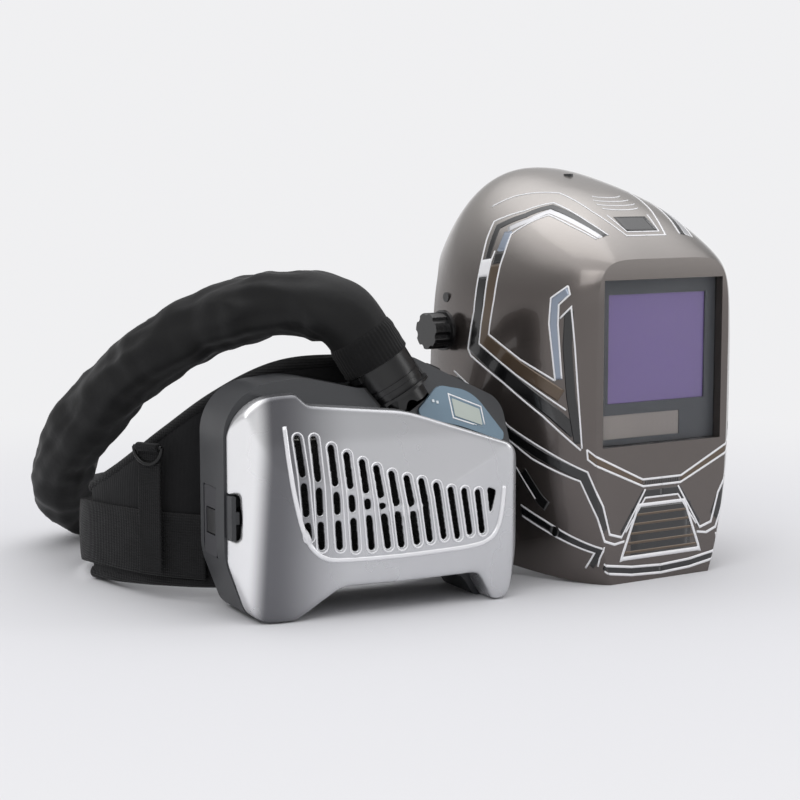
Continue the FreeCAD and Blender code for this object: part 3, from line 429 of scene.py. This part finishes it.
def turned(name, base, axis, profile, finish, body, ribs=0, rib_depth=0.0, around=96):
    """Piece turned about an axis from (distance along, radius) in mm, with optional ribs."""
    axis = axis.normalized()
    first = axis.orthogonal().normalized()
    second = axis.cross(first)
    points = []
    for s, r in profile:
        for k in range(around):
            angle = 2 * math.pi * k / around
            out = r + (rib_depth * (0.5 + 0.5 * math.cos(ribs * angle)) if ribs else 0)
            spoke = first * math.cos(angle) + second * math.sin(angle)
            points.append(base + axis * (s * MM) + spoke * (out * MM))
    return piece(name, points, loft_faces(len(profile), around), finish, body)


CUFF = [(0, 22.2), (0, 25.4), (1.2, 26.3), (6, 26.0), (11, 26.2), (16, 25.9), (20, 26.2), (23, 25.6),
        (25.5, 24.8),
        (25.5, 22.2)]
cuff_low = turned("hose_cuff_band_blower", row(*(NECK_BASE + NECK_DIR * 27.3)), NECK_DIR, CUFF,
                  finishes["cuff_fabric"], "blower", ribs=48, rib_depth=0.45, around=192)
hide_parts("hose_cuff_blower")
inlet_dir = HELMET.to_3x3() @ Vector((0, 0.8, -0.6))
cuff_high = turned("hose_cuff_band_helmet", on_helmet(0, 262 + 0.8 * 22.3, 120 - 0.6 * 22.3),
                   inlet_dir, CUFF,
                   finishes["cuff_fabric"], "headgear", ribs=48, rib_depth=0.45,
                   around=192)
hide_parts("hose_cuff_helmet")


# ---------------------------------------------------------------- belt
PAD_T, WEB_T = 11.0, 3.0
PAD = [(-152, 214, 0.2, 80), (-143, 172, 4, 100), (-124, 128, 8, 130), (-92, 95, 10, 162),
       (-45, 86.5, 11, 182),
       (10, 86.5, 11, 184), (62, 87.5, 11, 178), (94, 102, 10, 152), (106, 134, 8, 122),
       (110, 168, 4, 96),
       (109, 200, 0.2, 80)]
WEB_LEFT = [(-104, 92.5, 17, 67), (-131.5, 124.5, 17, 67), (-150.5, 170, 16, 66), (-159.6, 215, 14, 64),
            (-152, 256, 8, 58), (-130, 289, 3, 53), (-104, 307, 0.5, 50.5), (-76, 313.6, 0.2, 50.2),
            (-50, 314, 0.2, 50.2), (-24, 314, 0.2, 50.2)]
WEB_RIGHT = [(34, 314, 0.2, 50.2), (62, 313.4, 0.2, 50.2), (88, 298, 1, 51), (108, 266, 4, 54),
             (117.4, 232, 10, 60),
             (118.4, 168, 16, 66), (114.2, 132, 17, 67), (100.5, 98, 17, 67)]


def band(name, stations, thickness, finish, body="blower", rows=10, crown=0.0, ripple=0.0,
         steps=12):
    """Upright fabric band along plan stations, with rounded edges and an optional crowned middle."""
    line = flowing(stations, steps)
    points = []
    for i, (x, y, low, high) in enumerate(line):
        before, after = line[max(i - 1, 0)], line[min(i + 1, len(line) - 1)]
        along = Vector((after[0] - before[0], after[1] - before[1], 0)).normalized()
        side = Vector((-along.y, along.x, 0))
        low = max(low, 0.1)
        loop = []
        for k in range(rows + 1):
            share = k / rows
            edge = math.sin(math.pi * share) ** 0.35 if 0 < share < 1 else 0.25
            half = thickness / 2 * edge + crown * math.sin(math.pi * share)
            wave = ripple * noise.noise(Vector((x / 24, y / 24, share * 2.2)))
            loop.append((half, low + (high - low) * share, wave))
        for half, z, wave in loop:
            points.append(row(x, y, z) + side * ((half + wave) * MM))
        for half, z, wave in reversed(loop):
            points.append(row(x, y, z) - side * ((half - wave) * MM))
    return piece(name, points, loft_faces(len(line), 2 * (rows + 1)), finish, body)


PRESSURE, CLOTH_STEPS = 4, 12


def stuffed(name, cad_node, body, finish, voxel, cap, pull=0.0):
    """Padded piece: the CAD solid's skin, blown up a little as cloth and then smoothed."""
    mesh = frame["nodes"][cad_node].data.copy()
    made = bpy.data.objects.new(name, mesh)
    bpy.context.scene.collection.objects.link(made)
    shrink = made.modifiers.new("skin", "REMESH")
    shrink.mode = "VOXEL"
    shrink.voxel_size = voxel * MM
    settle(made)
    rest = [v.co.copy() for v in made.data.vertices]
    cloth = made.modifiers.new("cloth", "CLOTH")
    cloth.settings.use_pressure = True
    cloth.settings.uniform_pressure_force = PRESSURE
    cloth.settings.effector_weights.gravity = 0
    cloth.settings.quality = 4
    for step in range(1, CLOTH_STEPS + 1):
        bpy.context.scene.frame_set(step)
    settle(made)
    bpy.context.scene.frame_set(1)
    for vertex, start in zip(made.data.vertices, rest):
        moved = vertex.co - start
        if moved.length > cap * MM:
            vertex.co = start + moved.normalized() * (cap * MM)
    smooth = made.modifiers.new("smooth", "CORRECTIVE_SMOOTH")
    smooth.use_only_smooth = True
    smooth.iterations = 6
    finer = made.modifiers.new("finer", "SUBSURF")
    finer.levels = 1
    settle(made)
    for vertex in made.data.vertices:
        vertex.co.z = max(vertex.co.z, 0.2 * MM)
    made.data.polygons.foreach_set("use_smooth", [True] * len(made.data.polygons))
    made.data.materials.clear()
    made.data.materials.append(finish)
    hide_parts(cad_node)
    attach(made, body)
    return made


def settle(made):
    """Applies the modifiers of an object to its mesh."""
    bpy.context.view_layer.update()
    done = bpy.data.meshes.new_from_object(made.evaluated_get(bpy.context.evaluated_depsgraph_get()))
    made.modifiers.clear()
    made.data = done


stuffed("belt_pad_cushion", "belt_pad", "blower", finishes["belt_fabric"], 4.0, 1.1)
TAPE = 11.0
band("belt_binding_top", [(x, y, high - TAPE, high + 0.8) for x, y, low, high in PAD], PAD_T + 2.2,
     finishes["webbing"], rows=8, ripple=0.2)
band("belt_binding_bottom", [(x, y, low, low + TAPE) for x, y, low, high in PAD], PAD_T + 2.2,
     finishes["webbing"], rows=8, ripple=0.2)
web_left = band("belt_web_left", WEB_LEFT, WEB_T, finishes["webbing"], ripple=0.35)
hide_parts("belt_webbing_left")
web_right = band("belt_web_right", WEB_RIGHT, WEB_T, finishes["webbing"], ripple=0.35)
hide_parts("belt_webbing_right")

along_pad = Vector((-32, 46, 0)).normalized()
out_of_pad = Vector((-along_pad.y, along_pad.x, 0))
ring_at = Vector((-132, 124, 118)) + out_of_pad * (PAD_T / 2 + 4.2)
keeper = turned("ring_keeper_roll", row(*(ring_at - along_pad * 10)), along_pad,
                [(0, 1.7), (0, 3.0), (1, 3.3), (19, 3.3), (20, 3.0), (20, 1.7)], finishes["webbing"],
                "blower", ribs=24, rib_depth=0.15)
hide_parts("ring_keeper")
tail_at = Vector((-132, 124, 0)) + out_of_pad * (PAD_T / 2 + 2.4)
tail = [(*(tail_at + along_pad * s).xy, 20, 120) for s in (-10, -4, 4, 10)]
band("ring_keeper_tail", tail, 1.8, finishes["webbing"], rows=24, ripple=0.2, steps=6)



# skins of the CAD nodes, taken before any of them is replaced
graph = bpy.context.evaluated_depsgraph_get()
skins = {name: BVHTree.FromObject(frame["nodes"][name], graph)
         for name in ("helmet_shell", "filter_cover", "display_panel")}


EVEN_ROUNDS = 5


def softened(name, cad_node, body, slot, voxel, weight, rounds):
    """The CAD node's skin with its outer edges rounded where weight(x, y, z) in mm says so."""
    made = bpy.data.objects.new(name, frame["nodes"][cad_node].data.copy())
    bpy.context.scene.collection.objects.link(made)
    skin = made.modifiers.new("skin", "REMESH")
    skin.mode = "VOXEL"
    skin.voxel_size = voxel * MM
    settle(made)
    mesh = made.data
    count = len(mesh.vertices)
    where = np.empty(count * 3)
    mesh.vertices.foreach_get("co", where)
    where = where.reshape(-1, 3)
    pairs = np.empty(len(mesh.edges) * 2, int)
    mesh.edges.foreach_get("vertices", pairs)
    ends = np.concatenate([pairs.reshape(-1, 2), pairs.reshape(-1, 2)[:, ::-1]])
    joined = np.bincount(ends[:, 0], minlength=count)
    share = weight(where / MM + np.array(BLOWER_POINT))[:, None] * 0.5
    for turn in range(rounds):
        near = np.stack([np.bincount(ends[:, 0], where[ends[:, 1], k], count) for k in range(3)], 1)
        where += (share if turn >= EVEN_ROUNDS else 0.5) * (near / joined[:, None] - where)
    mesh.vertices.foreach_set("co", where.ravel())
    mesh.update()
    mesh.polygons.foreach_set("use_smooth", [True] * len(mesh.polygons))
    mesh.materials.clear()
    mesh.materials.append(finishes[slot])
    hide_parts(cad_node)
    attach(made, body)
    return made


def rise(value, low, high):
    return np.clip((value - low) / (high - low), 0, 1)


def cover_edges(at):
    """1 at the cover's outer edges, 0 round its slots and at its back rim."""
    x, y, z = at.T
    top = np.interp(x, (-113, -62, -53, 25, 121), (163, 165, 157, 149, 117))
    low = np.interp(x, (-97, -68, -32, 82, 95, 121), (0, 0, 23, 23, 0, 0))
    border = np.maximum.reduce([rise(x, -82, -94), rise(x, 104, 110), rise(z, top - 14, top - 7),
                                rise(z, low + 13, low + 7)])
    return border * rise(y, 22, 17)


softened("filter_cover_rounded", "filter_cover", "cover", "silver_paint", 0.8, cover_edges, 45)

# soft pieces of the helmet
stuffed("brow_cushion", "brow_pad", "headgear", finishes["pad_foam"], 2.5, 1.0)
stuffed("nape_cushion", "nape_pad", "headgear", finishes["pad_foam"], 2.5, 1.0)
stuffed("face_seal_knit", "face_seal", "shell", finishes["seal_fabric"], 1.8, 1.0)


# ---------------------------------------------------------------- raised lines and painted bands
HELMET_CORE = on_helmet(0, 120, 150)
FLAT = ((-1, 0.0), (0, 0.0), (1, 0.0))
WIDE = tuple((k / 4 - 1, 0.0) for k in range(9))
BEAD = ((-1, -0.1), (-0.7, 0.75), (0, 1.15), (0.7, 0.75), (1, -0.1))
SUNK = 0.25


def outward(point, skin):
    if skin == "helmet_shell":
        return (point - HELMET_CORE).normalized()
    return Vector((0, -1, 0))


def strip(name, points, width, lift, finish, body, skin="helmet_shell", closed=False,
          profile=FLAT):
    """Thin band lying on a CAD surface along points, its corners mitred, with its edges sunk in."""
    corners = list(points)
    if closed:
        corners.append(corners[0])
    path = []
    for i, (a, b) in enumerate(zip(corners, corners[1:])):
        count = max(1, round((b - a).length / (2.5 * MM)))
        path += [a.lerp(b, k / count) for k in range(count)]
    if not closed:
        path.append(corners[-1])
    total = len(path)
    rings_made = []
    for i, here in enumerate(path):
        if closed:
            before, after = path[i - 1], path[(i + 1) % total]
        else:
            before, after = path[max(i - 1, 0)], path[min(i + 1, total - 1)]
        come = (here - before).normalized() if (here - before).length else (after - here).normalized()
        go = (after - here).normalized() if (after - here).length else come
        along = (come + go).normalized()
        mitre = 1 / max(along.dot(go), 0.5)
        side = outward(here, skin).cross(along).normalized()
        top, bottom = [], []
        for share, height in profile:
            spot = here + side * (share * width / 2 * mitre * MM)
            away = outward(spot, skin)
            hit, normal, _, _ = skins[skin].ray_cast(spot + away * 0.05, -away)
            if hit is None or (hit - spot).length > 0.012:
                hit, normal = spot, away
            if normal.dot(away) < 0:
                normal = -normal
            top.append(hit + normal * ((lift + height) * MM))
            bottom.append(hit - normal * (SUNK * MM))
        rings_made += top + bottom[::-1]
    return piece(name, rings_made, loft_faces(total, 2 * len(profile), closed=closed), finish,
                 body)


def helmet_marks(name, points, width, lift, finish, profile=FLAT, closed=False, mirror=True):
    """Paint band on the shell, and its mirror image on the other side."""
    for side, end in ((1, "left"), (-1, "right")) if mirror else ((1, "mid"),):
        placed = [on_helmet(x * side, y, z) for x, y, z in points]
        strip(f"{name}_{end}", placed, width, lift, finish, "shell", closed=closed,
              profile=profile)


OUTER = [(-37, 26, 275), (-43, 44, 285), (-50, 80, 300), (-68, 95, 293), (-81, 119, 284.5),
         (-91, 115.5, 270),
         (-97, 112, 259), (-103, 109, 245), (-111, 105, 213), (-115, 107.5, 183), (-115, 103.5, 177.5),
         (-109, 67.5, 158.5), (-96, 32, 134), (-79, 4, 107.5)]
helmet_marks("ring_black_top", [(-40, 26, 274), (-46.5, 45, 284), (-54, 77, 296.5), (-71, 90, 289.5),
                                (-83, 110, 280), (-91, 107, 268), (-98, 104, 254)], 6, 0.18,
                                mark_black, WIDE)
helmet_marks("ring_silver", [(-45, 25.5, 273), (-52, 46, 283), (-59, 73.5, 293), (-73, 82, 286),
                             (-83, 97, 278)],
             5.5, 0.22, mark_silver, WIDE)
helmet_marks("ring_grey", [(-84, 95, 277), (-93, 92.5, 265), (-94.5, 93, 262)], 8, 0.24, mark_blue, WIDE)
helmet_marks("ring_square_black", [(-94.5, 93, 262), (-98.3, 91.5, 252)], 9, 0.26, mark_black, WIDE)
helmet_marks("ring_bronze", [(-98.5, 92.5, 251), (-108, 88.5, 221), (-112.5, 89.5, 192),
                             (-105, 53, 171.5),
                             (-88, 19, 151)], 10.5, 0.2, mark_bronze, WIDE)
helmet_marks("ring_black", [(-104, 103, 241), (-111.5, 99.5, 207), (-114.5, 100.5, 185),
                            (-107.5, 61, 162),
                            (-92, 24, 137), (-82, 8, 122)], 11, 0.17, mark_black, WIDE)
helmet_marks("ring_square_white", [(-98.5, 105.5, 255), (-104, 103.5, 241)], 11.5, 0.27, mark_white,
             WIDE)
helmet_marks("ring_outer_line", OUTER, 1.5, 0.34, mark_white)
helmet_marks("ring_silver_line", [(-49.5, 25, 272), (-57.5, 48, 282), (-62, 70.5, 290.5),
                                  (-73.5, 79, 285),
                                  (-85, 90, 275.5), (-94, 87, 260), (-98.5, 86.5, 250.5),
                                  (-107, 83.5, 224),
                                  (-111, 84.5, 196), (-104, 51.5, 178), (-91, 23, 163)], 1.4, 0.34,
                                  mark_white)
helmet_marks("ring_bronze_line", [(-94.5, 99, 262), (-98.7, 99, 253.5), (-109, 94, 218.5),
                                  (-113.4, 94.5, 188),
                                  (-105.3, 54, 165), (-86, 15, 140)], 1.4, 0.34, mark_white)
helmet_marks("hook_blue", [(-83, 17, 234.5), (-89, 26.5, 226), (-91.5, 25.5, 208),
                           (-89.5, 20.5, 164)], 6, 0.2,
             mark_blue, WIDE)
helmet_marks("hook_line_out", [(-82.5, 18.5, 238), (-90.5, 30, 228), (-93, 29, 208), (-91, 23, 163)],
             1.3, 0.34,
             mark_white)
helmet_marks("hook_line_in", [(-82.5, 18.5, 238), (-82.6, 15.8, 231.5), (-88, 23, 223), (-89.5, 22, 208),
                              (-88, 18.5, 165)], 1.3, 0.34, mark_white)
helmet_marks("wedge_black", [(-84, 15, 219), (-86, 14.5, 190), (-84, 11.5, 150), (-80, 6, 113)], 7.5,
             0.2,
             mark_black, WIDE)
helmet_marks("wedge_line", [(-88.5, 21, 212.5), (-83, 13.5, 222), (-82, 9.5, 190), (-81, 7.5, 164),
                            (-78.3, 3.6, 109)], 1.3, 0.34, mark_white)
helmet_marks("crest_line", [(-72, 135, 296.5), (-59, 120, 305), (-48, 105, 308), (-36.5, 89.5, 307.5),
                            (-31, 55, 293), (-20, 24, 274), (0, 24, 274)], 1.4, 0.34, mark_white)
helmet_marks("crest_panel", [(0, 29, 278), (0, 45, 289)], 33, 0.2, mark_black, WIDE, mirror=False)
helmet_marks("crest_inner_line", [(0, 28, 277), (-16.5, 28, 277), (-21, 48, 290)], 1.2, 0.34, mark_white)
for k, (y, half) in enumerate(((56, 20), (63, 21), (70, 19), (77, 15))):
    curve = [(half * math.sin(a), y - 5 * math.cos(a),
              300 + k) for a in [i * 0.26 - 1.3 for i in range(11)]]
    helmet_marks(f"crest_arc_{k}", curve, 1.1, 0.3, mark_white, mirror=False)
helmet_marks("jaw_black", [(-117, 122, 158), (-114, 92, 140), (-106.5, 61, 117), (-96, 35, 103),
                           (-77, 2, 86),
                           (-62, 0, 58), (-56.5, 0, 45)], 8, 0.2, mark_black, WIDE)
helmet_marks("jaw_line_top", [(-117, 125, 163.5), (-116, 105, 153.5), (-111.5, 82, 139),
                              (-107, 62, 123.5),
                              (-94.5, 31, 107), (-75, 0, 89.5), (-60, 0, 64), (-53, 0, 41),
                              (-41, 0, 37.5),
                              (-17, 0, 74)], 1.4, 0.34, mark_white)
helmet_marks("jaw_line_low", [(-114, 95, 134), (-106, 60, 111), (-99, 42, 99), (-78.5, 5, 82),
                              (-65, 0, 54),
                              (-58, 0, 36), (-48, 0, 32.5), (-38, 0, 34)], 1.4, 0.34, mark_white)
helmet_marks("jaw_patch", [(-101, 52, 88), (-94, 38, 66), (-91, 32, 60)], 9, 0.2, mark_black, WIDE)
helmet_marks("jaw_patch_line", [(-103, 57, 91), (-95.5, 41.5, 66)], 1.2, 0.34, mark_white)
helmet_marks("rim_black", [(-98.5, 56, 55), (-90, 37, 45), (-61, 1, 27), (-65, 8, 14)], 5, 0.2,
             mark_black, WIDE)
helmet_marks("rim_line_top", [(-99, 56, 60), (-90, 37, 49.5), (-58.5, 0, 30.5), (-61.5, 0.5, 20),
                              (-62, 2, 12)],
             1.3, 0.34, mark_white)
helmet_marks("rim_line_low", [(-97.5, 56, 51), (-89, 38, 41), (-64.5, 4, 25), (-67, 12, 12)], 1.3,
             0.34, mark_white)
helmet_marks("chin_v_silver", [(-75, 0, 104), (-20, 0, 79.5)], 4, 0.2, mark_bronze, WIDE)
helmet_marks("chin_v", [(-76, 0, 108), (-75, 0, 100), (-19.5, 0, 76.5), (0, 0, 76.5)], 1.4, 0.34,
             mark_white)
helmet_marks("chin_v_top", [(-76, 0, 108), (-20, 0, 82), (0, 0, 82)], 1.4, 0.34, mark_white)
helmet_marks("chin_frame", [(-40.5, 0, 40), (-19, 0, 70.5), (0, 0, 70.5)], 4.6, 0.2, mark_black, WIDE)
helmet_marks("chin_frame_line", [(-37, 0, 41), (-17, 0, 67), (0, 0, 67)], 1.2, 0.34, mark_white)
helmet_marks("chin_grille", [(0, 0, 22), (0, 0, 60)], 62, 0.2, mark_black, WIDE, mirror=False)
helmet_marks("chin_grille_line", [(-24, 0, 61.5), (24, 0, 61.5), (41, 0, 20), (-41, 0, 20)], 2.2,
             0.36, mark_white,
             closed=True, mirror=False)
for k in range(5):
    z = 54 - 7.4 * k
    half = 24 + (61 - z) * 0.4
    helmet_marks(f"chin_bar_{k}", [(-half, 0, z), (half, 0, z)], 1.6, 0.3, mark_bronze, mirror=False)
for k in range(15):
    x = -16.8 + 2.4 * k
    helmet_marks(f"chin_dash_{k}", [(x, 0, 77.6), (x + 0.4, 0, 80.8)], 1.3, 0.3, mark_black,
                 mirror=False)
helmet_marks("hem_black", [(-58, 0, 13.5), (-30, 0, 9.5), (0, 0, 8)], 3.6, 0.2, mark_black, WIDE)
helmet_marks("hem_line_top", [(-58, 0, 16.5), (-30, 0, 12.5), (0, 0, 11)], 1.3, 0.34, mark_white)
helmet_marks("hem_line_low", [(-57, 0, 10), (-30, 0, 6), (0, 0, 4.6)], 1.3, 0.34, mark_white)

# ridge round the slots of the filter cover, coloured near white as painted highlight, and the frame line
# on the display
RIDGE = [(-74, 143), (-73, 122), (-71, 104), (-67, 84), (-62, 66), (-55, 53), (-46, 46), (-34, 43.5),
         (0, 43), (40, 43.5), (74, 44.5), (90, 48), (98, 56), (102, 70), (104, 88)]
strip("cover_ridge", [row(x, -3, z) for x, z in flowing(RIDGE, 5)], 3.6, 0.5, finishes["painted_highlight_rim"],
      "cover", skin="filter_cover", profile=BEAD)
# beads round the slots, coloured near white as painted highlight
SLOTS = [(-65, 136, -58, 60), (-52, 135, -48, 52), (-39, 128, -34, 51), (-27, 122, -22, 49),
         (-15, 116, -9, 49),
         (-4, 111, 4, 49), (8, 106, 15, 49), (20, 102, 28, 50), (32, 99, 39, 51), (44, 95, 51, 52),
         (56, 91, 63, 51),
         (68, 89, 74, 53), (80, 87, 85, 53)]
RIM_OUT, RIM_END = 4.3, 2.2
for k, (x_top, z_top, x_low, z_low) in enumerate(SLOTS):
    top, low = Vector((x_top, -3, z_top)), Vector((x_low, -3, z_low))
    lengthwise = (top - low).normalized()
    across = Vector((lengthwise.z, 0, -lengthwise.x))
    loop = []
    for end, way in ((top - lengthwise * RIM_END, 1), (low + lengthwise * RIM_END, -1)):
        for step in range(9):
            angle = math.pi * step / 8
            loop.append(end + (across * math.cos(angle) + lengthwise * math.sin(angle)) * (way * RIM_OUT))
    strip(f"slot_rim_{k}", [row(*p) for p in loop], 1.3, 0.3, finishes["painted_highlight_rim"],
          "cover",
          skin="filter_cover", closed=True, profile=BEAD)
SCREEN_FRAME = [(74, 156), (101, 145), (101, 129.3), (74, 138.6)]
strip("display_frame_line", [row(x, 40, z) for x, z in SCREEN_FRAME], 0.9, 0.3, mark_white,
      "blower",
      skin="display_panel", closed=True)

# ---------------------------------------------------------------- floor
floor_mesh = bpy.data.meshes.new("floor")
REACH = 9.0
floor_mesh.from_pydata([(-REACH, -REACH, 0), (REACH, -REACH, 0), (REACH, REACH, 0),
                        (-REACH, REACH, 0)], [],
                       [(0, 1, 2, 3)])
floor = bpy.data.objects.new("floor", floor_mesh)
bpy.context.scene.collection.objects.link(floor)
FADE_FROM, FADE_TO = 0.35, 1.05      # metres from the middle, where the floor turns into backdrop
floor_paper = material("floor_paper", (0.83, 0.83, 0.84), 0.8, (0.826, 0.826, 0.836), patch=2,
                       layers=[("noise", 400, 0.02)])
sweep = floor_paper.node_tree
reach = node(sweep, "ShaderNodeVectorMath", operation="LENGTH")
sweep.links.new(node(sweep, "ShaderNodeTexCoord").outputs["Object"], reach.inputs[0])
fading = node(sweep, "ShaderNodeMapRange", interpolation_type="SMOOTHSTEP")
fading.inputs["From Min"].default_value = FADE_FROM
fading.inputs["From Max"].default_value = FADE_TO
sweep.links.new(reach.outputs["Value"], fading.inputs["Value"])
glow = node(sweep, "ShaderNodeEmission", Color=(0.87, 0.87, 0.883, 1), Strength=1.0)
both = node(sweep, "ShaderNodeMixShader")
sweep.links.new(fading.outputs["Result"], both.inputs[0])
sweep.links.new(sweep.nodes["Principled BSDF"].outputs[0], both.inputs[1])
sweep.links.new(glow.outputs[0], both.inputs[2])
sweep.links.new(both.outputs[0], sweep.nodes["Material Output"].inputs["Surface"])
floor_mesh.materials.append(floor_paper)
